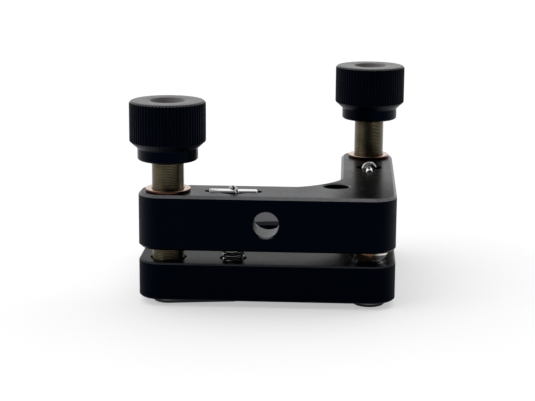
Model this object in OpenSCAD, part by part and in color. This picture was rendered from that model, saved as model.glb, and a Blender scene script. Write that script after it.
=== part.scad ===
// Kinematic mirror mount for a 25.4 mm optic: an L-shaped back plate, a square front plate,
// a fixed pivot ball at one corner and two fine-thread adjusters at the two next corners.
// Two extension springs hold the plates together. All sizes are millimetres.
// The origin is on the optic axis, in the front plate's front face. +Z runs to the knobs.

/* [Plates] */
// Side of both square plate outlines
plate_w = 50.8; // [50:0.1:52]
// Thickness of the front plate
front_t = 7.5; // [7:0.1:8.5]
// Gap between the plates at rest
gap = 2.5; // [2.2:0.1:3]
// Thickness of the back plate
back_t = 11.0; // [10.5:0.1:12]
// Radius of the plates' vertical corners
corner_r = 4.9; // [3:0.1:4.9]
// Width of the back plate's two legs
leg_w = 11.15; // [10.9:0.05:11.4]
// Radius of the round inner corner, centred on the optic axis
inner_r = 15.35; // [15.2:0.05:15.6]
// Chamfer on the back plate's outer edges
edge_c = 0.55; // [0.2:0.05:0.7]
// Chamfer on the front plate's outer edges
front_edge_c = 0.3; // [0.2:0.05:0.7]

/* [Kinematics] */
// Distance of the pivot's axis from the two outer faces at its corner
pivot_inset = 5.2; // [5:0.1:5.4]
// Distance from the pivot's axis to each adjuster's axis
span = 39.8; // [39.4:0.1:40]
// Diameter of the pivot ball
pivot_ball_d = 7.94; // [7.94, 7.5]
// Height of the pivot ball's centre above the back plate's underside
pivot_lift = 0.8; // [0.6:0.1:1]
// How far the seat inserts stand out of the front face
seat_proud = 1.25; // [1:0.05:1.5]

/* [Adjusters] */
// Major diameter of the fine adjuster thread
screw_d = 6.35; // [6:0.05:6.35]
// Diameter of the ball in each adjuster's tip
tip_ball_d = 4.76; // [4.5:0.02:4.8]
// How much higher the adjuster over the flat seat stands than the one over the vee
step_b = 2.3; // [2:0.1:2.4]
// Knob diameter over the knurl
knob_d = 15.0; // [14:0.1:16]
// Knob neck diameter
knob_neck_d = 11.9; // [11:0.1:12.4]
// Knob height
knob_h = 11.65; // [11:0.05:13]
// Grooves round the knurl
knurl_n = 70; // [40:1:90]
// Depth of the knurl grooves
knurl_depth = 0.24; // [0.15:0.01:0.3]

/* [Springs] */
// Distance from the pivot's axis to each spring's axis
spring_offset = 26.9; // [26:0.1:28]
// Outer diameter of the coil
coil_d = 4.5; // [4:0.1:4.8]
// Spring wire diameter
wire_d = 0.8; // [0.6:0.05:0.9]
// Turns in the coil
coil_turns = 15; // [12:1:17]

/* [Optic] */
// Diameter of the optic's bore
optic_bore_d = 25.5; // [25.45:0.05:25.6]
// Depth of the optic's bore from the front face
optic_bore_depth = 6.0; // [5:0.1:6.5]
// Clear aperture in the lip behind the optic
aperture_d = 22.9; // [20:0.1:24]

/* [Hidden] */
$fn = 96;

eps = 0.01;
cut = 1;             // overshoot of cutters past a face
press_gap = 0.01;    // radial gap between pieces fixed in each other
run_gap = 0.045;     // radial gap between pieces that turn or slide in each other
touch_gap = 0.03;    // gap at the ball contacts, so that bodies never share volume

half = plate_w / 2;
back_z = front_t + gap;
top_z = back_z + back_t;
mid_z = back_z + back_t / 2;

// Axes of the pivot, the adjusters and the springs
pivot = [half - pivot_inset, pivot_inset - half];
axis_a = pivot - [span, 0];
axis_b = pivot + [0, span];
spring_axis_a = pivot - [spring_offset, 0];
spring_axis_b = pivot + [0, spring_offset];

leg_edge = half - leg_w;               // distance of the legs' inner edges from the optic axis

// Post screw holes through the two outer faces
post_hole_r = 2.55;
post_wall = 5.3;
post_bore_r = 3.5;

// Clearance hole on the diagonal between the optic axis and the pivot
diagonal_hole_r = 2.65;
diagonal_hole = [13.45, -13.45];

// Chamfer round the mouths of these holes
rim_c = 0.25;

// Spring holes, pins and the slots that hold them
spring_hole_r = 2.7;
pin_r = 0.75;
pin_l = 9.5;
pin_slot_l = 11.4;
pin_slot_w = 2.0;
pin_sink = 0.27;                       // upper pins' axes below the back plate's top
back_pin_z = top_z - pin_sink;
front_pin_z = 2.6;

// Bushings
bushing_r = 4.0;
flange_r = 4.45;
flange_t = 0.6;

// Pivot ball and the cone angle of its seats
ball_r = pivot_ball_d / 2;
ball_z = back_z + pivot_lift;
cone_half_angle = 59;
seat_r = 3.2;
seat_round = 0.4;

// Adjusters: heights are for adjuster A, and step_b is added for B
screw_r = screw_d / 2;
tip_r = tip_ball_d / 2;
screw_end_z = 6.6;
tip_sink = 0.88;                       // tip ball's centre above the screw's end
tip_z = screw_end_z + tip_sink;
screw_end_c = 0.35;
drill_point_r = 0.6;                   // drill point above the tip ball's socket
drill_point_h = 0.5;
knob_z = 27.25;
knob_top_recess = 1.5;
knob_recess_r = 3.42;
screw_top_z = knob_z + knob_h - knob_top_recess;
hex_af = 2.0;                          // hex key across flats
hex_depth = 3;

// Knob profile
neck_h = 2.35;
knob_cone_h = 1.4;
knob_bevel = 0.4;

// Knob set screws
knob_screw_r = 1.0;
knob_screw_l = 2.4;
knob_screw_z = 1.25;                   // above the knob's lower face
knob_screw_af = 0.9;
knob_screw_hex_depth = 1.2;
knob_screw_c = 0.15;

// Knurl crests, as shares of a groove's pitch
crest_start = 0.42;
crest_end = 0.58;

// Chamfer behind the aperture's lip
aperture_c = 0.7;

// Seats
vee_top_z = 6.2;
vee_recess_r = 3.6;
vee_tail = [span - spring_offset, 1.3];  // the foot's tail: distance from the axis, radius
flat_seat_z = tip_z + step_b - tip_r - touch_gap;

// Optic set screw, in the left face
optic_screw_r = 2.05;
optic_screw_l = 7;
optic_screw_z = 3.2;
optic_screw_x = -half + 0.4;           // its outer end
nylon_r = 1.4;
nylon_in_screw = 1.5;
nylon_c = 0.25;
nylon_end_x = -optic_bore_d / 2 - 0.25;  // clear of the bore

// Springs
wire_r = wire_d / 2;
coil_r = coil_d / 2 - wire_r;
hook_r = 1.35;
hook_turn = 25;                        // turn of the hooks about the spring's axis
wire_sides = 8;
coil_steps = 12;                       // rings for each turn
join_steps = 6;
hook_steps = 13;
hook_start = -40;
hook_end = 215;
hook_slack = hook_r - wire_r - pin_r;  // the hook's centre lies this far inside the pin's axis
hook_gap_z = 1.9;                      // from the hook's centre to the end of the coil
hook_play = 0.02;
coil_leave = 2.2;                      // pull of the wire's curve where it leaves the coil
leave_slope = 0.6;                     // and its rise there
hook_arrive = 2.0;                     // pull where it reaches the hook
upper_hook_z = back_pin_z - hook_slack - hook_play;
lower_hook_z = front_pin_z + hook_slack + hook_play;
coil_z0 = lower_hook_z + hook_gap_z;
coil_z1 = upper_hook_z - hook_gap_z;

// ---------------------------------------------------------------- shared forms

// Bar along X with chamfered long edges
module chamfered_bar(x0, x1, y0, y1, h, c) {
    section = [
        [y0 + c, 0], [y1 - c, 0], [y1, c], [y1, h - c],
        [y1 - c, h], [y0 + c, h], [y0, h - c], [y0, c]
    ];
    translate([x0, 0, 0]) rotate([90, 0, 90])
        linear_extrude(x1 - x0) polygon(section);
}

module chamfered_disc(r, h, c) {
    rotate_extrude() polygon([[0, 0], [r - c, 0], [r, c], [r, h - c], [r - c, h], [0, h]]);
}

// Slab with round corners and chamfered edges
module rounded_slab(x0, y0, x1, y1, h, r, c) {
    chamfered_bar(x0 + r, x1 - r, y0, y1, h, c);
    rotate([0, 0, 90]) chamfered_bar(y0 + r, y1 - r, -x1, -x0, h, c);
    for (x = [x0 + r, x1 - r], y = [y0 + r, y1 - r])
        translate([x, y, 0]) chamfered_disc(r, h, c);
}

module at(p, z = 0) {
    translate([p[0], p[1], z]) children();
}

// Slot with round ends, along X, cut downwards from z = 0
module slot_cutter(l, w, depth) {
    translate([0, 0, -depth]) linear_extrude(depth + cut) {
        square([l - w, w], center = true);
        for (s = [-1, 1]) translate([s * (l - w) / 2, 0]) circle(w / 2);
    }
}

// Cone that chamfers the mouth of a hole of radius r along +Z from z = 0
module rim_cutter(r) {
    translate([0, 0, -cut]) cylinder(r1 = r + rim_c + cut, r2 = r, h = rim_c + cut);
}

// Post screw hole along +Y from y = 0: a clear wall, then a counterbore for the head
module post_hole_cutter() {
    rotate([-90, 0, 0]) {
        translate([0, 0, -cut]) cylinder(r = post_hole_r, h = leg_w + 2 * cut);
        translate([0, 0, post_wall]) cylinder(r = post_bore_r, h = leg_w);
        rim_cutter(post_hole_r);
    }
}

module dowel(l, r) {
    c = 0.2;
    rotate([0, 90, 0]) translate([0, 0, -l / 2]) chamfered_disc(r, l, c);
}

module hex_cutter(af, depth) {
    translate([0, 0, -depth]) cylinder(r = af / 2 / cos(30), h = depth + cut, $fn = 6);
}

// ---------------------------------------------------------------- back plate

// Block in the L's inner corner, cut to the round edge. It reaches into both legs.
module inner_corner_fill() {
    into_leg = 2;
    side = leg_edge + into_leg;
    difference() {
        translate([0, -side, 0]) cube([side, side, back_t]);
        rotate_extrude() polygon([
            [0, -cut], [inner_r + edge_c + cut, -cut], [inner_r, edge_c],
            [inner_r, back_t - edge_c], [inner_r + edge_c + cut, back_t + cut], [0, back_t + cut]
        ]);
    }
}

module back_plate() {
    color("#17181a") difference() {
        translate([0, 0, back_z]) {
            rounded_slab(-half, -half, half, -leg_edge, back_t, corner_r, edge_c);
            rounded_slab(leg_edge, -half, half, half, back_t, corner_r, edge_c);
            inner_corner_fill();
        }
        for (p = [axis_a, axis_b])
            at(p, back_z - cut) cylinder(r = bushing_r + press_gap, h = back_t + 2 * cut);
        for (p = [spring_axis_a, spring_axis_b])
            at(p, back_z - cut) cylinder(r = spring_hole_r, h = back_t + 2 * cut);
        at(diagonal_hole, back_z - cut) cylinder(r = diagonal_hole_r, h = back_t + 2 * cut);
        at(diagonal_hole, top_z) mirror([0, 0, 1]) rim_cutter(diagonal_hole_r);
        at(spring_axis_a, top_z) slot_cutter(pin_slot_l, pin_slot_w, top_z - back_pin_z + pin_r + eps);
        at(spring_axis_b, top_z) rotate(90)
            slot_cutter(pin_slot_l, pin_slot_w, top_z - back_pin_z + pin_r + eps);
        translate([0, -half, mid_z]) post_hole_cutter();
        translate([half, 0, mid_z]) rotate(90) post_hole_cutter();
        at(pivot, ball_z) ball_socket_cutter(back_z - ball_z - cut);
    }
}

// Blind hole for the pivot ball with a drill-point end. z = 0 is the ball's centre.
module ball_socket_cutter(mouth_z) {
    r = ball_r + touch_gap;
    contact_z = r * sin(cone_half_angle);
    apex_z = contact_z + r * cos(cone_half_angle) / tan(cone_half_angle);
    rim_z = apex_z - r / tan(cone_half_angle);
    rotate_extrude() polygon([[0, mouth_z], [r, mouth_z], [r, rim_z], [0, apex_z]]);
}

module bushing(p) {
    bore_r = screw_r + run_gap;
    c = 0.15;
    color("#9c6b4a") at(p, back_z) rotate_extrude() polygon([
        [bore_r, 0], [bushing_r, 0], [bushing_r, back_t + eps], [flange_r, back_t + eps],
        [flange_r, back_t + flange_t - c], [flange_r - c, back_t + flange_t],
        [bore_r + c, back_t + flange_t], [bore_r, back_t + flange_t - c]
    ]);
}

module spring_pin(p, z, turn) {
    color("#d8d8d6") at(p, z) rotate(turn) dowel(pin_l, pin_r);
}

// ---------------------------------------------------------------- springs

function unit(v) = v / norm(v);

// Points of a hook: a circle arc in the plane of the spring's axis and direction a
function hook_points(a, z) = [
    for (i = [0 : hook_steps])
        let (f = hook_start + (hook_end - hook_start) * i / hook_steps)
        [hook_r * cos(f) * cos(a), hook_r * cos(f) * sin(a), z + hook_r * sin(f)]
];

// Smooth curve from p with slope u to q with slope v, without its two ends
function join_points(p, u, q, v) = [
    for (i = [1 : join_steps - 1])
        let (t = i / join_steps)
        (2 * t ^ 3 - 3 * t ^ 2 + 1) * p + (t ^ 3 - 2 * t ^ 2 + t) * u
            + (3 * t ^ 2 - 2 * t ^ 3) * q + (t ^ 3 - t ^ 2) * v
];

function coil_point(a, z) = [coil_r * cos(a), coil_r * sin(a), z];

// Half of the wire above the middle of the coil, for a coil that ends at angle a
function half_coil(a, z_mid, z_end, z_hook) =
    let (
        n = coil_turns * coil_steps / 2,
        coil = [
            for (i = [0 : n])
                coil_point(a - (n - i) * 360 / coil_steps, z_mid + (z_end - z_mid) * i / n)
        ],
        hook = hook_points(a, z_hook),
        leave = coil_leave * [-sin(a), cos(a), leave_slope],
        arrive = hook_arrive * unit(hook[1] - hook[0])
    )
    concat(coil, join_points(coil[n], leave, hook[0], arrive), hook);

function flipped(points, z_mid) = [
    for (i = [len(points) - 1 : -1 : 1])
        [points[i][0], -points[i][1], 2 * z_mid - points[i][2]]
];

// The wire's middle line: a half turn about a cross axis gives the lower half from the upper
function spring_points() =
    let (
        z_mid = (coil_z0 + coil_z1) / 2,
        n = coil_turns * coil_steps / 2,
        a_end = n * 360 / coil_steps,
        upper = half_coil(a_end, z_mid, coil_z1, upper_hook_z)
    )
    concat(flipped(upper, z_mid), upper);

// Tube along points, with rings carried from one to the next without twist
module tube(points, r, sides) {
    last = len(points) - 1;
    tangents = [
        for (i = [0 : last]) unit(points[min(i + 1, last)] - points[max(i - 1, 0)])
    ];
    first = unit(cross(tangents[0], [1, 0.3, 0.2]));
    normals = [
        for (i = 0, n = first; i <= last;
             i = i + 1, n = i > last ? n : unit(n - tangents[i] * (n * tangents[i]))) n
    ];
    rings = [
        for (i = [0 : last], k = [0 : sides - 1])
            let (a = k * 360 / sides, b = cross(tangents[i], normals[i]))
            points[i] + r * (cos(a) * normals[i] + sin(a) * b)
    ];
    walls = [
        for (i = [0 : last - 1], k = [0 : sides - 1])
            let (p = i * sides + k, q = i * sides + (k + 1) % sides)
            each [[p, q + sides, q], [p, p + sides, q + sides]]
    ];
    caps = [
        [for (k = [0 : sides - 1]) k],
        [for (k = [sides - 1 : -1 : 0]) last * sides + k]
    ];
    polyhedron(rings, concat(walls, caps));
}

module spring(p, turn) {
    color("#4a4a4c") at(p) rotate(turn) tube(spring_points(), wire_r, wire_sides);
}

// ---------------------------------------------------------------- pivot and front plate

module pivot_ball() {
    color("#e4e4e4") at(pivot, ball_z) sphere(ball_r);
}

module front_plate() {
    screw_hole_l = half - optic_bore_d / 2 + 2 * cut;
    color("#17181a") difference() {
        rounded_slab(-half, -half, half, half, front_t, corner_r, front_edge_c);
        translate([0, 0, -cut]) cylinder(r = optic_bore_d / 2, h = optic_bore_depth + cut);
        translate([0, 0, -cut]) cylinder(r = aperture_d / 2, h = front_t + 2 * cut);
        translate([0, 0, front_t - aperture_c])
            cylinder(r1 = aperture_d / 2, r2 = aperture_d / 2 + aperture_c + cut, h = aperture_c + cut);
        for (p = [axis_a, axis_b, pivot])
            at(p, -cut) cylinder(r = seat_r + press_gap, h = front_t + 2 * cut);
        at(axis_a, vee_top_z) cylinder(r = vee_recess_r, h = front_t);
        for (p = [spring_axis_a, spring_axis_b])
            at(p, -cut) cylinder(r = spring_hole_r, h = front_t + 2 * cut);
        at(spring_axis_a) mirror([0, 0, 1]) slot_cutter(pin_slot_l, pin_slot_w, front_pin_z + pin_r + eps);
        at(spring_axis_b) mirror([0, 0, 1]) rotate(90)
            slot_cutter(pin_slot_l, pin_slot_w, front_pin_z + pin_r + eps);
        translate([-half - cut, 0, optic_screw_z]) rotate([0, 90, 0])
            cylinder(r = optic_screw_r + run_gap, h = screw_hole_l);
    }
}

// Round insert: profile of its outside from the proud foot to its top
function insert_outline(top) = [
    for (a = [-90 : 10 : 0])
        [seat_r - seat_round + seat_round * cos(a), -seat_proud + seat_round + seat_round * sin(a)],
    [seat_r, top]
];

module cone_seat() {
    r = ball_r + touch_gap;
    contact_z = ball_z - r * sin(cone_half_angle);
    apex_z = contact_z - r * cos(cone_half_angle) / tan(cone_half_angle);
    mouth_r = (front_t - apex_z) * tan(cone_half_angle);
    color("#b9bbbd") at(pivot) rotate_extrude() polygon(
        concat([[0, -seat_proud]], insert_outline(front_t), [[mouth_r, front_t], [0, apex_z]]));
}

module flat_seat() {
    color("#b9bbbd") at(axis_b) rotate_extrude() polygon(
        concat([[0, -seat_proud]], insert_outline(flat_seat_z), [[0, flat_seat_z]]));
}

// The vee insert has a foot on the front face. Its tail closes the slot of the spring's pin.
module vee_seat() {
    flank = (tip_r + touch_gap) * sqrt(2);
    apex_z = tip_z - flank;
    groove_w = front_t;
    foot_c = 0.35;
    color("#b9bbbd") at(axis_a) difference() {
        union() {
            translate([0, 0, -foot_c]) cylinder(r = seat_r, h = vee_top_z + foot_c);
            hull() for (q = [[0, seat_r], vee_tail]) translate([q[0], 0, 0]) {
                translate([0, 0, -seat_proud]) cylinder(r = q[1] - foot_c, h = eps, $fn = 32);
                translate([0, 0, foot_c - seat_proud])
                    cylinder(r = q[1], h = seat_proud - foot_c, $fn = 32);
            }
        }
        translate([-seat_r - cut, 0, apex_z]) rotate([90, 0, 90]) linear_extrude(2 * (seat_r + cut))
            polygon([[0, 0], [groove_w, groove_w], [-groove_w, groove_w]]);
    }
}

// ---------------------------------------------------------------- optic set screw

module optic_set_screw() {
    c = 0.3;
    color("#2b2b2d") translate([optic_screw_x, 0, optic_screw_z]) rotate([0, 90, 0]) difference() {
        chamfered_disc(optic_screw_r, optic_screw_l, c);
        mirror([0, 0, 1]) hex_cutter(hex_af, hex_depth);
        translate([0, 0, optic_screw_l - nylon_in_screw])
            cylinder(r = nylon_r + run_gap, h = nylon_in_screw + cut);
    }
}

module nylon_tip() {
    start_x = optic_screw_x + optic_screw_l - nylon_in_screw + touch_gap;
    color("#eeeee8") translate([start_x, 0, optic_screw_z]) rotate([0, 90, 0])
        chamfered_disc(nylon_r, nylon_end_x - start_x, nylon_c);
}

// ---------------------------------------------------------------- adjusters

// Hardened ball in the tip. lift raises adjuster B's pieces by step_b.
module tip_ball(p, lift) {
    color("#e4e4e4") at(p, tip_z + lift) sphere(tip_r);
}

module adjuster_screw(p, lift) {
    socket_r = tip_r + run_gap;
    socket_top = tip_sink + socket_r;
    l = screw_top_z - screw_end_z;
    color("#8f8873") at(p, screw_end_z + lift) difference() {
        chamfered_disc(screw_r, l, screw_end_c);
        translate([0, 0, -cut]) cylinder(r = socket_r, h = tip_sink + cut);
        translate([0, 0, tip_sink]) sphere(socket_r);
        translate([0, 0, l]) hex_cutter(hex_af, hex_depth);
        translate([0, 0, socket_top]) cylinder(r1 = drill_point_r, r2 = 0, h = drill_point_h);
    }
}

// Star outline of the straight knurl
module knurl_outline() {
    polygon([
        for (i = [0 : knurl_n - 1])
            let (a = i * 360 / knurl_n, s = 360 / knurl_n)
            each [
                (knob_d / 2 - knurl_depth) * [cos(a), sin(a)],
                (knob_d / 2) * [cos(a + crest_start * s), sin(a + crest_start * s)],
                (knob_d / 2) * [cos(a + crest_end * s), sin(a + crest_end * s)]
            ]
    ]);
}

module knob(p, lift) {
    r = knob_d / 2;
    neck_r = knob_neck_d / 2;
    neck_c = 0.3;
    bore_r = screw_r + press_gap;
    color("#141517") at(p, knob_z + lift) difference() {
        intersection() {
            rotate_extrude() polygon([
                [bore_r, 0], [neck_r - neck_c, 0], [neck_r, neck_c], [neck_r, neck_h],
                [r, neck_h + knob_cone_h], [r, knob_h - knob_bevel], [r - knob_bevel, knob_h],
                [knob_recess_r, knob_h], [knob_recess_r, knob_h - knob_top_recess],
                [bore_r, knob_h - knob_top_recess]
            ]);
            linear_extrude(knob_h) knurl_outline();
        }
        translate([0, 0, knob_screw_z]) rotate([-90, 0, 0])
            cylinder(r = knob_screw_r + press_gap, h = neck_r + cut);
    }
}

module knob_set_screw(p, lift) {
    y0 = screw_r + press_gap;
    color("#3a3a3c") at(p, knob_z + knob_screw_z + lift) translate([0, y0, 0]) rotate([-90, 0, 0])
        difference() {
            chamfered_disc(knob_screw_r, knob_screw_l, knob_screw_c);
            translate([0, 0, knob_screw_l]) hex_cutter(knob_screw_af, knob_screw_hex_depth);
        }
}

back_plate();
bushing(axis_a);  // bushing_a
bushing(axis_b);  // bushing_b
spring_pin(spring_axis_a, back_pin_z, 0);  // back_spring_pin_a
spring_pin(spring_axis_b, back_pin_z, 90);  // back_spring_pin_b
spring(spring_axis_a, 90 + hook_turn);  // spring_a
spring(spring_axis_b, hook_turn);  // spring_b
pivot_ball();
front_plate();
cone_seat();
vee_seat();
flat_seat();
spring_pin(spring_axis_a, front_pin_z, 0);  // front_spring_pin_a
spring_pin(spring_axis_b, front_pin_z, 90);  // front_spring_pin_b
optic_set_screw();
nylon_tip();
tip_ball(axis_a, 0);  // tip_ball_a
adjuster_screw(axis_a, 0);  // screw_a
knob(axis_a, 0);  // knob_a
knob_set_screw(axis_a, 0);  // knob_set_screw_a
tip_ball(axis_b, step_b);  // tip_ball_b
adjuster_screw(axis_b, step_b);  // screw_b
knob(axis_b, step_b);  // knob_b
knob_set_screw(axis_b, step_b);  // knob_set_screw_b
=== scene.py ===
"""Looks of the kinematic mirror mount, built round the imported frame. Metres, same frame as the CAD."""

import math

import bmesh
import bpy
from mathutils import Matrix, Vector

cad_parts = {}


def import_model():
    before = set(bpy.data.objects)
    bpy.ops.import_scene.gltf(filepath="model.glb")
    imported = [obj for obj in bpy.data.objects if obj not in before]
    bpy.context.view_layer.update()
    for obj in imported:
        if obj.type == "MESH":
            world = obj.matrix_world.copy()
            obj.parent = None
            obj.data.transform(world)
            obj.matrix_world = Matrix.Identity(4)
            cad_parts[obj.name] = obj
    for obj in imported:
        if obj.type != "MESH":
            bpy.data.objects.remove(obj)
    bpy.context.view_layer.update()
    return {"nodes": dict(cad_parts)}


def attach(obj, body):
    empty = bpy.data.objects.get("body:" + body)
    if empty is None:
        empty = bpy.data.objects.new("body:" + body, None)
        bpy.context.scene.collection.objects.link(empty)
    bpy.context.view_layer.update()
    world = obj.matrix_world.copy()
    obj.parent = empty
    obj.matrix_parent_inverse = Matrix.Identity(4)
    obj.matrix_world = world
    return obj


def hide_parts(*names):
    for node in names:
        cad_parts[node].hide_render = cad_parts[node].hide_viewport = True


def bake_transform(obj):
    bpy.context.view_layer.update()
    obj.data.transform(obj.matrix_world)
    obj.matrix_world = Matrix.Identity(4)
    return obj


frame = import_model()
nodes = frame["nodes"]
MM = 0.001

# ------------------------------------------------------------------ measures (millimetres)
# A is the near left adjuster and B the far right one. The pivot is at the corner of the L. Names that end
# in _R are radii, in _H heights, in _L lengths, in _T thicknesses, in _Z levels and in _C chamfers.
PIVOT, PIVOT_R = (20.2, -20.2, 10.8), 3.97
AXIS = {"a": (-19.6, -20.2), "b": (20.2, 19.6)}       # the adjusters
LIFT = {"a": 0.0, "b": 2.3}                           # how much higher than A each stands
SPRING = {"a": (-6.7, -20.2), "b": (20.2, 6.7)}
SPRING_TURN = {"a": 128, "b": 25}                     # degrees about the spring's own axis
BACK_Z, BACK_T = 10.0, 11.0                           # the back plate's lower face and its thickness
FLOOR_Z, FLOOR_R = -1.25, 4000.0

BUSHING_BORE_R, BUSHING_R, BUSHING_C = 3.23, 4.0, 0.15
FLANGE_R, FLANGE_T, FLANGE_C, FLANGE_PLAY = 4.45, 0.6, 0.08, 0.01

SCREW_R, SCREW_END, SCREW_TOP, SCREW_C = 3.175, 6.6, 37.4, 0.35
PITCH, THREAD_DEPTH = 0.3175, 0.05
TIP_R, TIP_SINK = 2.38, 0.88                          # the tip ball, and how deep it is in the screw
TIP_PLAY = 0.02                                       # off the drawn ball's radius, for the vee's shift
CUP_PLAY = 0.045                                      # between the tip ball and the screw round it
HEX_ACROSS, HEX_C, HEX_DEPTH, HEX_TIP = 2.0, 0.1, 3.0, 0.5

KNOB_Z, KNOB_R, KNOB_H, KNOB_C = 27.25, 7.5, 11.65, 0.4
KNOB_NECK_R, KNOB_NECK_H, KNOB_NECK_C, KNOB_BEVEL_TOP = 5.95, 2.35, 0.3, 3.75
KNOB_BORE_R, KNOB_MOUTH_R, KNOB_MOUTH_H = 3.185, 3.42, 1.5
KNURLS, KNURL_DEPTH = 70, 0.24

PIN_R, PIN_L, PIN_C = 0.75, 9.5, 0.2
PIN_Z = {"back": 20.73, "front": 2.6}
WIRE_R, COIL_R, TURNS = 0.4, 1.85, 15
HOOK_R = 1.35
HOOK_DROP = HOOK_R - WIRE_R - PIN_R + 0.02            # from a hook's centre to its pin's, and play
UPPER_HOOK, LOWER_HOOK = PIN_Z["back"] - HOOK_DROP, PIN_Z["front"] + HOOK_DROP
HOOK_TO_COIL = 1.9
COIL_LOW, COIL_HIGH = LOWER_HOOK + HOOK_TO_COIL, UPPER_HOOK - HOOK_TO_COIL


def axis_at(key, z):
    """The point of an adjuster's axis whose height would be z if it stood like A."""
    return (*AXIS[key], z + LIFT[key])


# ------------------------------------------------------------------ node materials
MOST = (0.3, 0.7)                     # nearly all of a noise lies in this band
FINE_EDGE = 0.00006                   # radius in metres by which fine edges look rounded
BLUE_TINT = (0.10, 0.22, 0.60)        # of the black dye's straight-on reflection; a glancing one is white
BLACK_DYE = ((0.0001, 0.0006, 0.0018), (0.0004, 0.0010, 0.0026))


class Nodes:
    """Small helper that builds the node tree of a material or world."""

    def __init__(self, owner, output):
        owner.use_nodes = True
        self.owner = owner
        self.tree = owner.node_tree
        self.tree.nodes.clear()
        self.out = self.add(output)

    def add(self, kind, **settings):
        node = self.tree.nodes.new(kind)
        for key, value in settings.items():
            setattr(node, key, value)
        return node

    def put(self, socket, value):
        """Links another socket to this one, or writes a number, vector or colour on it."""
        if isinstance(value, bpy.types.NodeSocket):
            self.tree.links.new(value, socket)
        elif socket.type == "RGBA":
            socket.default_value = (*value, 1.0)
        else:
            socket.default_value = value

    def fill(self, node, **values):
        """Puts values on the inputs of those names, with _ for a space."""
        for name, value in values.items():
            self.put(node.inputs[name.replace("_", " ")], value)
        return node

    def coords(self):
        return self.add("ShaderNodeTexCoord").outputs["Object"]

    def parts(self, vector):
        return self.fill(self.add("ShaderNodeSeparateXYZ"), Vector=vector).outputs

    def up(self):
        """1 on faces that look straight up, 0 on upright ones and -1 on those that look down."""
        return self.parts(self.add("ShaderNodeNewGeometry").outputs["True Normal"])["Z"]

    def noise(self, vector, scale, detail=3.0, rough=0.6):
        node = self.add("ShaderNodeTexNoise")
        return self.fill(node, Vector=vector, Scale=scale, Detail=detail, Roughness=rough).outputs["Fac"]

    def lines(self, vector, scale, streak=(1, 1, 1)):
        """Fine noise that streak squeezes along an axis."""
        stretched = self.fill(self.add("ShaderNodeMapping"), Vector=vector, Scale=streak).outputs["Vector"]
        return self.noise(stretched, scale, 4, 0.65)

    def ramp(self, fac, stops):
        node = self.add("ShaderNodeValToRGB")
        elements = node.color_ramp.elements
        while len(elements) < len(stops):
            elements.new(0.5)
        for element, (position, color) in zip(elements, stops):
            element.position = position
            element.color = (*color, 1.0)
        return self.fill(node, Fac=fac).outputs["Color"]

    def span(self, fac, low, high, band=(0.0, 1.0)):
        """Takes fac from the band to low..high, and holds it there outside the band."""
        node = self.add("ShaderNodeMapRange")
        self.fill(node, Value=fac, From_Min=band[0], From_Max=band[1], To_Min=low, To_Max=high)
        return node.outputs["Result"]

    def around(self, fac, middle, spread):
        """Spreads a noise to both sides of the middle value."""
        return self.span(fac, middle - spread, middle + spread, MOST)

    def math(self, operation, a, b=None, clamp=False):
        node = self.add("ShaderNodeMath", operation=operation, use_clamp=clamp)
        self.put(node.inputs[0], a)
        if b is not None:
            self.put(node.inputs[1], b)
        return node.outputs[0]

    def mix(self, fac, a, b):
        """Colour a where fac is 0 and colour b where it is 1."""
        node = self.add("ShaderNodeMix", data_type="RGBA")
        for index, value in ((0, fac), (6, a), (7, b)):
            self.put(node.inputs[index], value)
        return node.outputs[2]

    def rounded(self, radius):
        return self.fill(self.add("ShaderNodeBevel", samples=6), Radius=radius).outputs["Normal"]

    def bump(self, height, distance, strength, edges=None):
        """Bumps as high as distance in metres, on edges that look rounded by the radius edges."""
        node = self.fill(self.add("ShaderNodeBump"), Height=height, Distance=distance, Strength=strength)
        if edges:
            self.fill(node, Normal=self.rounded(edges))
        return node.outputs["Normal"]

    def worn(self, at, radius, scale, most):
        """0 on flats, and more on sharp and rubbed edges, whose rounded normal leans from the true one."""
        dot = self.add("ShaderNodeVectorMath", operation="DOT_PRODUCT")
        self.put(dot.inputs[0], self.rounded(radius))
        self.put(dot.inputs[1], self.add("ShaderNodeNewGeometry").outputs["Normal"])
        edge = self.math("SUBTRACT", 1.0, dot.outputs["Value"], clamp=True)
        rubbed = self.span(self.noise(at, scale, 4, 0.7), 0.2, most, MOST)
        return self.math("MULTIPLY", edge, rubbed, clamp=True)

    def chamfers(self):
        """1 on faces that look up at 45 degrees, 0 on level and upright ones."""
        off = self.math("ABSOLUTE", self.math("SUBTRACT", self.up(), 0.707))
        return self.math("SUBTRACT", 1.0, self.math("DIVIDE", off, 0.13), clamp=True)

    def stained(self, stain, low, high):
        return self.mix(self.span(stain, 0, 1, (0.35, 0.65)), low, high)

    def principled(self, color, metallic, rough, normal, **more):
        shader = self.add("ShaderNodeBsdfPrincipled")
        self.fill(shader, Base_Color=color, Metallic=metallic, Roughness=rough, Normal=normal, **more)
        self.fill(self.out, Surface=shader.outputs["BSDF"])
        return self.owner


def surface(name):
    """A new material's nodes, and the coordinates of the piece it is on."""
    m = Nodes(bpy.data.materials.new(name), "ShaderNodeOutputMaterial")
    return m, m.coords()


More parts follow.
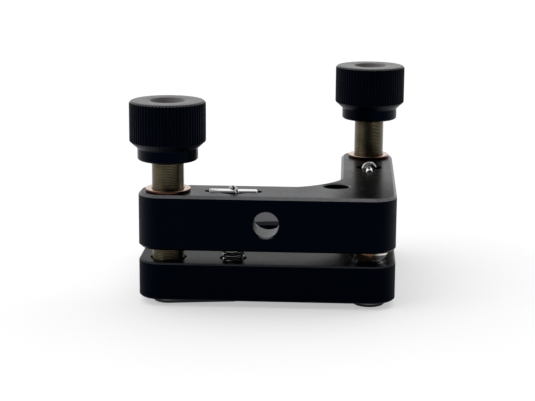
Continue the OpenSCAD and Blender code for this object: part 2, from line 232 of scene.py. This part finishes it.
def anodised(name, ior, rough, edge_color, chamfer_highlight=None, dye=BLACK_DYE, tint=BLUE_TINT, side_rough=0.0):
    """Black anodised metal, lighter on worn edges, painted highlight on up-facing chamfers, duller by
    side_rough on upright faces.
    """
    m, at = surface(name)
    blotch, grain = m.noise(at, 260, 4), m.noise(at, 9000, 2)
    base = m.ramp(blotch, [(0.25, dye[0]), (0.75, dye[1])])
    color = m.mix(m.worn(at, 0.00018, 900, 1.6), base, edge_color)
    if chamfer_highlight:
        # Painted highlight: chamfers that look up are lightened to the given colour.
        chamfer_highlight_mask = m.math("MULTIPLY", m.chamfers(), m.span(m.noise(at, 1500), 0.75, 1.0, MOST))
        color = m.mix(chamfer_highlight_mask, color, chamfer_highlight)
    dull = m.math("ADD", m.span(blotch, rough - 0.03, rough + 0.04, MOST), m.around(grain, 0.0, 0.03))
    upright = m.math("SUBTRACT", 1.0, m.math("ABSOLUTE", m.up()))
    dull = m.math("ADD", dull, m.math("MULTIPLY", upright, side_rough))
    return m.principled(color, 0.0, dull, m.bump(grain, 0.000010, 0.4, 0.00012), IOR=ior, Specular_Tint=tint)


def turned_black(name, ior, rough, edge_color):
    """Black anodised knob, built round its own axis: fine rings of the facing tool on its end. The end has a
    painted sheen, the bevels that look up a painted highlight and the recess wall painted light."""
    m, at = surface(name)
    xyz = m.parts(at)
    end = m.math("GREATER_THAN", m.up(), 0.9)
    radius = m.math("SQRT", m.math("ADD", m.math("MULTIPLY", xyz["X"], xyz["X"]),
                                   m.math("MULTIPLY", xyz["Y"], xyz["Y"])))
    ring_at = m.fill(m.add("ShaderNodeCombineXYZ"), X=radius).outputs[0]
    rings, wide = m.noise(ring_at, 9000, 3, 0.7), m.noise(ring_at, 1500, 2, 0.5)
    grain, blotch = m.noise(at, 9000, 2), m.noise(at, 500)
    base = m.ramp(blotch, [(0.25, BLACK_DYE[0]), (0.75, BLACK_DYE[1])])
    # Painted sheen: the end is a lighter grey than the black dye.
    face = m.mix(wide, (0.060, 0.060, 0.058), (0.105, 0.103, 0.098))
    # Painted light: the recess wall is a light grey.
    painted_recess_light = m.mix(blotch, (0.36, 0.33, 0.34), (0.50, 0.47, 0.48))
    recess = m.math("MULTIPLY", m.math("LESS_THAN", radius, (KNOB_MOUTH_R + 0.18) * MM),
                    m.math("GREATER_THAN", xyz["Z"], (KNOB_H - KNOB_MOUTH_H - 0.15) * MM))
    color = m.mix(end, m.mix(recess, base, painted_recess_light), face)
    # Painted highlight on the bevels that look up.
    color = m.mix(m.chamfers(), color, (0.130, 0.130, 0.127))
    color = m.mix(m.worn(at, 0.00015, 1200, 1.4), color, edge_color)
    height = m.math("ADD", m.math("MULTIPLY", rings, end), m.math("MULTIPLY", grain, 0.3))
    return m.principled(color, 0.0, m.around(blotch, rough, 0.03), m.bump(height, 0.000016, 0.9, 0.0001),
                        IOR=ior, Specular_Tint=BLUE_TINT)


def steel(name, low, high, rough, scale, depth, streak=(1, 1, 1)):
    """Ground or polished steel with fine lines and faint stains."""
    m, at = surface(name)
    lines, stain = m.lines(at, scale, streak), m.noise(at, 500)
    dull = m.math("ADD", m.around(lines, rough, rough / 4), m.around(stain, 0.0, 0.03))
    return m.principled(m.stained(stain, low, high), 1.0, dull, m.bump(lines, depth, 0.6, FINE_EDGE))


def seat_steel(name, low, high, painted_foot_shade, rough):
    """Ground steel whose foot is dull, and dark with painted shade where it meets the table."""
    m, at = surface(name)
    lines, stain = m.lines(at, 2500, (1, 1, 5)), m.noise(at, 500)
    # Painted shade: the foot's lowest part is darkened towards the foot colour.
    foot_shade_mask = m.span(m.parts(at)["Z"], 1.0, 0.0, (-0.00070, -0.00050))
    color = m.mix(foot_shade_mask, m.stained(stain, low, high), painted_foot_shade)
    dull = m.math("ADD", m.around(lines, rough, rough / 4), m.math("MULTIPLY", foot_shade_mask, 0.2))
    return m.principled(color, 1.0, dull, m.bump(lines, 0.000004, 0.6, FINE_EDGE))


def spring_steel(name, low, high, painted_coil_shade, rough):
    """Drawn wire, bright at the upper hook, with painted shade in patches on the coil below it, which lies in
    the plates and the gap between them.
    """
    m, at = surface(name)
    lines, stain = m.lines(at, 3500), m.noise(at, 500)
    # Painted shade: the coil low in the plates is darkened in patches.
    coil = m.span(m.parts(at)["Z"], 1.0, 0.0, (0.0165, 0.0185))
    coil_shade_mask = m.math("MULTIPLY", coil, m.span(stain, 0.55, 1.0, MOST))
    color = m.mix(coil_shade_mask, m.stained(stain, low, high), painted_coil_shade)
    dull = m.around(lines, rough, rough / 4)
    return m.principled(color, 1.0, dull, m.bump(lines, 0.000004, 0.6, FINE_EDGE))


def steel_painted_reflections(name, steel_color, rough, painted_reflections):
    """Polished ball with painted reflections: bright steel as a painted highlight on the side away from the
    plates' middle and in patches, dark and bronze-coloured painted reflection elsewhere.
    """
    m, at = surface(name)
    # Painted highlight: the side away from the plates' middle, and some patches, show bright steel; the rest
    # is painted dark and bronze-coloured reflection.
    side = m.span(m.parts(at)["X"], 0.0, 1.0, (0.0212, 0.0226))
    highlight_patch = m.span(m.noise(at, 420, 2, 0.5), 0.0, 1.0, (0.52, 0.62))
    painted_highlight = m.math("MAXIMUM", side, m.math("MULTIPLY", highlight_patch, 0.35))
    color = m.mix(painted_highlight, m.ramp(m.noise(at, 600, 2, 0.5), painted_reflections), steel_color)
    return m.principled(color, m.span(painted_highlight, 0.75, 0.60), m.span(painted_highlight, rough + 0.10, rough),
                        m.bump(m.noise(at, 1500, 3, 0.5), 0.000001, 0.6))


def turned_bronze(name, low, high, side, rough):
    """Bronze, stained in patches, with a bright faced end and painted shade on its upright outside."""
    m, at = surface(name)
    lines, stain = m.lines(at, 3000, (1, 1, 6)), m.noise(at, 500)
    # Painted shade: the upright faces are darkened towards the side colour.
    upright_shade_mask = m.span(m.math("ABSOLUTE", m.up()), 1.0, 0.0, (0.25, 0.60))
    color = m.mix(upright_shade_mask, m.stained(stain, low, high), side)
    dull = m.math("ADD", m.around(lines, rough, rough / 4), m.math("MULTIPLY", upright_shade_mask, 0.12))
    return m.principled(color, 1.0, dull, m.bump(lines, 0.000001, 0.6, FINE_EDGE))


def plastic(name, low, high, rough):
    m, at = surface(name)
    cloud = m.noise(at, 800, 3, 0.5)
    return m.principled(m.mix(cloud, low, high), 0.0, m.around(cloud, rough, 0.05),
                        m.bump(m.noise(at, 6000, 2, 0.5), 0.00001, 0.4))


PLATE_EDGE, PLATE_SIDE_ROUGH = (0.017, 0.018, 0.021), 0.28
# The chamfer colours of the two plates are painted highlights.
back_plate_mat = anodised("black_anodised_back_plate", 1.18, 0.24, PLATE_EDGE, side_rough=PLATE_SIDE_ROUGH,
                          chamfer_highlight=(0.260, 0.260, 0.262))
front_plate_mat = anodised("black_anodised_front_plate", 1.10, 0.24, PLATE_EDGE, side_rough=PLATE_SIDE_ROUGH,
                           chamfer_highlight=(0.050, 0.052, 0.056), tint=(0.20, 0.50, 1.00),
                           dye=((0.0001, 0.0009, 0.0034), (0.0004, 0.0014, 0.0044)))
knob_mat = turned_black("black_anodised_knob", 1.16, 0.24, (0.026, 0.027, 0.029))
oxide_mat = anodised("black_oxide", 1.45, 0.36, (0.05, 0.05, 0.052), tint=(1.0, 1.0, 1.0))
screw_mat = steel("threaded_stainless", (0.066, 0.055, 0.033), (0.092, 0.079, 0.052), 0.13,
                  scale=2500, depth=0.000002, streak=(1, 1, 8))
pin_mat = steel("ground_pin", (0.90, 0.89, 0.87), (0.95, 0.95, 0.93), 0.16, scale=4000, depth=0.000004)
ball_mat = steel("polished_ball", (0.68, 0.66, 0.62), (0.76, 0.75, 0.72), 0.09, scale=1500, depth=0.000001)
spring_mat = spring_steel("spring_wire", (0.46, 0.46, 0.46), (0.66, 0.65, 0.64), (0.075, 0.075, 0.080), 0.14)
ball_reflections_mat = steel_painted_reflections("ball_painted_reflections", (0.90, 0.89, 0.86), 0.09, [
    (0.35, (0.030, 0.030, 0.034)), (0.5, (0.10, 0.075, 0.045)), (0.65, (0.14, 0.055, 0.020))])
seat_mat = seat_steel("seat_painted_foot_shade", (0.19, 0.19, 0.20), (0.26, 0.26, 0.27), (0.020, 0.020, 0.022), 0.22)
bronze_mat = turned_bronze("turned_bronze", (0.46, 0.30, 0.23), (0.62, 0.44, 0.36),
                           (0.055, 0.022, 0.014), 0.09)
nylon_mat = plastic("natural_nylon", (0.78, 0.77, 0.70), (0.86, 0.85, 0.80), 0.42)

# The CAD nodes that stay, with better materials.
CARRIED_OVER = {
    "back_plate": back_plate_mat, "front_plate": front_plate_mat,
    "knob_set_screw_a": oxide_mat, "knob_set_screw_b": oxide_mat, "optic_set_screw": oxide_mat,
    "cone_seat": seat_mat, "vee_seat": seat_mat, "flat_seat": seat_mat, "nylon_tip": nylon_mat,
}


def dress(obj, mat):
    obj.data.materials.clear()
    obj.data.materials.append(mat)


for node_name, node_mat in CARRIED_OVER.items():
    dress(nodes[node_name], node_mat)


# ------------------------------------------------------------------ mesh building
def piece(name, verts, faces, mat, sharp_deg=40.0):
    """A mesh from millimetre points, smooth but for edges over sharp_deg."""
    mesh = bpy.data.meshes.new(name)
    mesh.from_pydata([tuple(c * MM for c in v) for v in verts], [], faces)
    bm = bmesh.new()
    bm.from_mesh(mesh)
    bmesh.ops.remove_doubles(bm, verts=bm.verts, dist=1e-8)
    bmesh.ops.recalc_face_normals(bm, faces=bm.faces)
    limit = math.radians(sharp_deg)
    for face in bm.faces:
        face.smooth = True
    for edge in bm.edges:
        if len(edge.link_faces) == 2 and edge.calc_face_angle(0.0) > limit:
            edge.smooth = False
    bm.to_mesh(mesh)
    bm.free()
    obj = bpy.data.objects.new(name, mesh)
    bpy.context.scene.collection.objects.link(obj)
    dress(obj, mat)
    return obj


def grid_faces(rows, cols):
    """The faces between rows of points, each row closed round on itself."""
    out = []
    for i in range(rows - 1):
        for j in range(cols):
            a = i * cols + j
            b = i * cols + (j + 1) % cols
            out.append((a, b, b + cols, a + cols))
    return out


def on_circle(r, angle, z):
    return (r * math.cos(angle), r * math.sin(angle), z)


def lathe(profile, cols, radius_at=None):
    """Vertices and faces of a turned form. profile is (r, z) pairs; radius_at(i, r, angle) may change r."""
    verts = []
    for i, (r, z) in enumerate(profile):
        for j in range(cols):
            angle = 2 * math.pi * j / cols
            verts.append(on_circle(radius_at(i, r, angle) if radius_at else r, angle, z))
    return verts, grid_faces(len(profile), cols)


def join(mesh, more):
    """Adds the vertices and faces of more to those of mesh."""
    verts, faces = mesh
    faces += [tuple(k + len(verts) for k in face) for face in more[1]]
    verts += more[0]


def moved(verts, offset, turn=None):
    m = Matrix.Translation(Vector(offset)) @ (turn or Matrix.Identity(4))
    return [tuple(m @ Vector(v)) for v in verts]


def rounded_profile(points, radius):
    """The same (r, z) outline with each corner but its two ends rounded by a small radius."""
    steps = 3
    out = [points[0]]
    for before, corner, after in zip(points, points[1:], points[2:]):
        p = Vector(corner)
        u, v = Vector(before) - p, Vector(after) - p
        d = min(radius, 0.45 * u.length, 0.45 * v.length)
        start, end = p + u.normalized() * d, p + v.normalized() * d
        for k in range(steps + 1):
            t = k / steps
            q = start * (1 - t) ** 2 + p * 2 * t * (1 - t) + end * t ** 2
            out.append((q.x, q.y))
    out.append(points[-1])
    return out


# ------------------------------------------------------------------ turned pieces
def ball(name, center, r, mat, rows, cols):
    prof = [(r * math.sin(math.pi * i / rows), -r * math.cos(math.pi * i / rows)) for i in range(rows + 1)]
    verts, faces = lathe(prof, cols)
    return piece(name, moved(verts, center), faces, mat, 180)


def pivot_ball():
    obj = ball("pivot_ball_polished", PIVOT, PIVOT_R, ball_reflections_mat, 40, 64)
    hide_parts("pivot_ball")
    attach(obj, "pivot_ball")


def tip_ball(key):
    obj = ball("tip_ball_" + key + "_polished", axis_at(key, SCREW_END + TIP_SINK), TIP_R - TIP_PLAY,
               ball_mat, 24, 40)
    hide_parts("tip_ball_" + key)
    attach(obj, "tip_ball_" + key)


def spring_pins(key):
    """The dowel pins that hold a spring's two hooks."""
    end = PIN_L / 2
    prof = rounded_profile([(0.0, -end), (PIN_R - PIN_C, -end), (PIN_R, -end + PIN_C),
                            (PIN_R, end - PIN_C), (PIN_R - PIN_C, end), (0.0, end)], 0.1)
    verts, faces = lathe(prof, 28)
    along = Vector((1, 0, 0) if key == "a" else (0, 1, 0))
    turn = Vector((0, 0, 1)).rotation_difference(along).to_matrix().to_4x4()
    for side, z in PIN_Z.items():
        obj = piece(side + "_pin_" + key + "_ground", moved(verts, (*SPRING[key], z), turn), faces,
                    pin_mat)
        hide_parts(side + "_spring_pin_" + key)
        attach(obj, side + "_plate")


def bushing(key):
    """Bushing in the back plate: its flange is just clear of the plate's top, its bore's mouth is eased."""
    bore, seat, top = BUSHING_BORE_R, BACK_T + FLANGE_PLAY, BACK_T + FLANGE_T
    prof = rounded_profile([
        (bore + BUSHING_C, 0), (BUSHING_R - BUSHING_C, 0), (BUSHING_R, BUSHING_C), (BUSHING_R, seat),
        (FLANGE_R - FLANGE_C, seat), (FLANGE_R, seat + FLANGE_C), (FLANGE_R, top - FLANGE_C),
        (FLANGE_R - FLANGE_C, top), (bore + 0.17, top), (bore + 0.10, top - 0.02), (bore, top - 0.14),
        (bore, BUSHING_C), (bore + BUSHING_C, 0)], 0.07)
    verts, faces = lathe(prof, 72)
    obj = piece("bushing_" + key + "_turned", moved(verts, (*AXIS[key], BACK_Z)), faces, bronze_mat)
    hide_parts("bushing_" + key)
    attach(obj, "back_plate")


# ------------------------------------------------------------------ adjusters
def thread(cols, length):
    """The screw's outside: a helical groove, held inside a chamfer at each end."""
    # Where the groove's edges come in each turn, and how far out they are.
    groove = [(0.0, 0.0), (0.62, 0.0), (0.76, -THREAD_DEPTH), (0.86, -THREAD_DEPTH)]
    levels = [(turn + part, depth) for turn in range(-1, int(length / PITCH) + 2) for part, depth in groove]
    verts, faces = [], []
    for pos, depth in levels:
        for j in range(cols):
            z = min(max((pos + j / cols) * PITCH, 0.0), length)
            most = SCREW_R - max(0.0, SCREW_C - z, z - (length - SCREW_C))
            verts.append(on_circle(min(SCREW_R + depth, most), 2 * math.pi * j / cols, z))
    rows = len(levels)
    for i in range(rows - 1):
        for j in range(cols - 1):
            a = i * cols + j
            faces.append((a, a + 1, a + 1 + cols, a + cols))
    # A row's last point meets the first point of the row one turn up.
    for i in range(rows - 1 - len(groove)):
        a = i * cols + cols - 1
        b = (i + len(groove)) * cols
        faces.append((a, b, b + cols, a + cols))
    # Beyond both ends the rows lie flat on each other.
    return verts, [f for f in faces if len({tuple(round(c, 5) for c in verts[k]) for k in f}) > 2]


def screw(key):
    """Helical thread from the tip to the knob, a cup for the ball and a hex socket in the top."""
    cols, length = 48, SCREW_TOP - SCREW_END
    end_r, cup_r = SCREW_R - SCREW_C, TIP_R + CUP_PLAY
    mesh = thread(cols, length)
    cup = [(end_r, 0.0), (cup_r + 0.05, 0.0), (cup_r, 0.04)]
    for i in range(13):
        a = math.radians(90 * i / 12)
        cup.append((cup_r * math.cos(a), TIP_SINK + cup_r * math.sin(a)))
    join(mesh, lathe(cup, cols))

    def hexed(i, r, angle):
        """Rows 1 to 3 are the socket's: there r is what the hexagon is widened by."""
        wide = HEX_ACROSS / 2 / math.cos((angle % (math.pi / 3)) - math.pi / 6)
        return wide + r if 1 <= i <= 3 else r

    floor_z = length - HEX_DEPTH
    head = [(end_r, length), (HEX_C, length), (0.0, length - HEX_C), (0.0, floor_z), (0.0, floor_z - HEX_TIP)]
    join(mesh, lathe(head, cols, hexed))
    obj = piece("adjuster_screw_" + key + "_threaded", moved(mesh[0], axis_at(key, SCREW_END)), mesh[1],
                screw_mat, 50)
    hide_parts("screw_" + key)
    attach(obj, "adjuster_" + key)


def knob(key):
    """Turned knob whose outside is cut by a straight knurl with rounded ridges."""
    neck_r, mouth_z = KNOB_NECK_R, KNOB_H - KNOB_MOUTH_H
    outline = rounded_profile([
        (KNOB_BORE_R, 0.0), (neck_r - KNOB_NECK_C, 0.0), (neck_r, KNOB_NECK_C), (neck_r, KNOB_NECK_H),
        (KNOB_R, KNOB_BEVEL_TOP), (KNOB_R, KNOB_H - KNOB_C), (KNOB_R - KNOB_C, KNOB_H),
        (KNOB_MOUTH_R, KNOB_H), (KNOB_MOUTH_R, mouth_z), (KNOB_BORE_R, mouth_z)], 0.16)
    prof = [outline[0]]
    for a, b in zip(outline, outline[1:]):
        # Short steps where the knurl runs out on the bevels.
        runs_out = min(a[0], b[0]) > 6.9 and abs(b[1] - a[1]) < 3
        n = max(1, round(math.dist(a, b) / (0.16 if runs_out else 2.5)))
        prof += [(a[0] + (b[0] - a[0]) * k / n, a[1] + (b[1] - a[1]) * k / n) for k in range(1, n + 1)]
    prof.append(prof[0])

    def knurled(_, r, angle):
        # across is 0 in the groove and 1 on the ridge, whose outer fifth is level.
        across = abs((angle * KNURLS / (2 * math.pi)) % 1.0 - 0.5) * 2
        return min(r, KNOB_R - KNURL_DEPTH * (1 - min(1.0, across * 1.25) ** 0.9))

    verts, faces = lathe(prof, KNURLS * 8, knurled)
    obj = piece("knob_" + key + "_knurled", verts, faces, knob_mat, 32)
    obj.location = Vector(axis_at(key, KNOB_Z)) * MM
    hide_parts("knob_" + key)
    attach(obj, "adjuster_" + key)


# ------------------------------------------------------------------ springs
def spring_path():
    """Middle line of the wire from the lower hook's end to the upper hook's end."""
    steps = 28                                        # points a turn
    mid, n, end = (COIL_LOW + COIL_HIGH) / 2, TURNS * steps // 2, TURNS * math.pi
    coil = [Vector(on_circle(COIL_R, end - (n - i) * 2 * math.pi / steps, mid + (COIL_HIGH - mid) * i / n))
            for i in range(n + 1)]
    hook = []                                         # from 40 degrees below level, 255 degrees round
    for i in range(25):
        a = math.radians(-40 + 255 * i / 24)
        hook.append(Vector(on_circle(HOOK_R * math.cos(a), end, UPPER_HOOK + HOOK_R * math.sin(a))))
    # A smooth bend from the coil to the hook, which leaves the one and enters the other in its direction.
    leave = 2.2 * Vector((-math.sin(end), math.cos(end), 0.6))
    enter = 2.0 * (hook[1] - hook[0]).normalized()
    bend = []
    for t in (i / 10 for i in range(1, 10)):
        bend.append((2 * t**3 - 3 * t**2 + 1) * coil[-1] + (t**3 - 2 * t**2 + t) * leave
                    + (3 * t**2 - 2 * t**3) * hook[0] + (t**3 - t**2) * enter)
    upper = coil + bend + hook
    lower = [Vector((p.x, -p.y, 2 * mid - p.z)) for p in reversed(upper[1:])]
    return lower + upper


def wire(points):
    """A round tube along the points, closed at both ends."""
    sides, last = 12, len(points) - 1
    tangents = [(points[min(i + 1, last)] - points[max(i - 1, 0)]).normalized() for i in range(last + 1)]
    n = tangents[0].cross(Vector((1, 0.3, 0.2))).normalized()
    verts = []
    for p, t in zip(points, tangents):
        n = (n - t * n.dot(t)).normalized()
        b = t.cross(n)
        verts += [tuple(p + WIRE_R * (math.cos(a) * n + math.sin(a) * b))
                  for a in (2 * math.pi * k / sides for k in range(sides))]
    faces = grid_faces(len(points), sides)
    far = len(verts) - sides
    faces += [tuple(range(sides - 1, -1, -1)), tuple(range(far, far + sides))]
    return verts, faces


def spring_part(name, key, points):
    turn = Matrix.Rotation(math.radians(SPRING_TURN[key]), 4, "Z")
    verts, faces = wire(points)
    return piece(name, moved(verts, (*SPRING[key], 0), turn), faces, spring_mat, 60)


def springs():
    """Each spring is cut where its parts move apart, and its coil stretches between the plates."""
    def at(key, z):
        return tuple(c * MM for c in (*SPRING[key], z))

    path = spring_path()
    low = next(i for i, p in enumerate(path) if p.z > COIL_LOW + 0.02)
    coil_a = spring_part("spring_a_coil", "a", path[low:])
    hook_a = spring_part("spring_a_lower_hook", "a", path[:low + 1])
    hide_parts("spring_a")
    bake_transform(coil_a)
    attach(hook_a, "front_plate")
    half = next(i for i, p in enumerate(path) if p.z > PIVOT[2])
    upper_b = spring_part("spring_b_upper", "b", path[half:])
    lower_b = spring_part("spring_b_lower", "b", path[:half + 1])
    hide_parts("spring_b")
    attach(upper_b, "back_plate")
    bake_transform(lower_b)


for key in ("a", "b"):
    bushing(key)
    screw(key)
    knob(key)
    tip_ball(key)
    spring_pins(key)
pivot_ball()
springs()


# ------------------------------------------------------------------ floor, light tent and camera
def floor():
    m, at = surface("pale_floor")
    diffuse = m.fill(m.add("ShaderNodeBsdfDiffuse"),
                     Color=m.mix(m.noise(at, 40, 4, 0.5), (0.80, 0.80, 0.80), (0.84, 0.84, 0.84)))
    # Rays that should see the plain white surroundings find the floor brighter than it is lit.
    ray = m.add("ShaderNodeLightPath").outputs
    seen = m.math("MAXIMUM", ray["Is Glossy Ray"], ray["Is Transmission Ray"])
    seen = m.math("MAXIMUM", ray["Is Camera Ray"], seen)
    glow = m.fill(m.add("ShaderNodeEmission"), Strength=m.math("MULTIPLY", seen, 0.45))
    both = m.add("ShaderNodeAddShader")
    m.put(both.inputs[0], diffuse.outputs[0])
    m.put(both.inputs[1], glow.outputs[0])
    m.fill(m.out, Surface=both.outputs[0])
    bpy.ops.mesh.primitive_circle_add(vertices=96, radius=FLOOR_R * MM, fill_type="NGON",
                                      location=(0, 0, FLOOR_Z * MM))
    obj = bpy.context.object
    obj.name = "floor"
    dress(obj, m.owner)


def world():
    """A light tent that is open, and so dark, round the camera's side."""
    tent = bpy.data.worlds.new("tent")
    bpy.context.scene.world = tent
    m = Nodes(tent, "ShaderNodeOutputWorld")
    opening = math.radians(30)
    toward = m.add("ShaderNodeVectorMath", operation="DOT_PRODUCT")
    m.put(toward.inputs[0], m.add("ShaderNodeTexCoord").outputs["Generated"])
    m.put(toward.inputs[1], Vector((math.sin(opening), -math.cos(opening), 0.10)).normalized())
    glow = m.ramp(toward.outputs["Value"], [(0.0, (1, 1, 1)), (0.25, (0.9, 0.9, 0.9)),
                                            (0.55, (0.10, 0.105, 0.12)), (1.0, (0.01, 0.011, 0.014))])
    sky = m.fill(m.add("ShaderNodeBackground"), Color=glow, Strength=1.0)
    m.fill(m.out, Surface=sky.outputs[0])


def camera():
    """The camera as solved from the photograph."""
    place, yaw, pitch, roll = (15.5, -308.1, 82.7), 0.0537, 0.2165, -0.0063
    ahead = Vector((-math.sin(yaw) * math.cos(pitch), math.cos(yaw) * math.cos(pitch), -math.sin(pitch)))
    level = Vector((math.cos(yaw), math.sin(yaw), 0))
    below = ahead.cross(level)
    right = math.cos(roll) * level + math.sin(roll) * below
    down = -math.sin(roll) * level + math.cos(roll) * below
    data = bpy.data.cameras.new("camera")
    data.sensor_fit, data.sensor_width, data.lens = "HORIZONTAL", 36.0, 101.03
    data.clip_start, data.clip_end = 0.01, 10.0
    obj = bpy.data.objects.new("camera", data)
    turn = Matrix((right, -down, -ahead)).transposed().to_4x4()
    turn.translation = Vector(place) * MM
    obj.matrix_world = turn
    bpy.context.scene.collection.objects.link(obj)
    bpy.context.scene.camera = obj


floor()
world()
camera()
bpy.context.scene.view_settings.view_transform = "Standard"
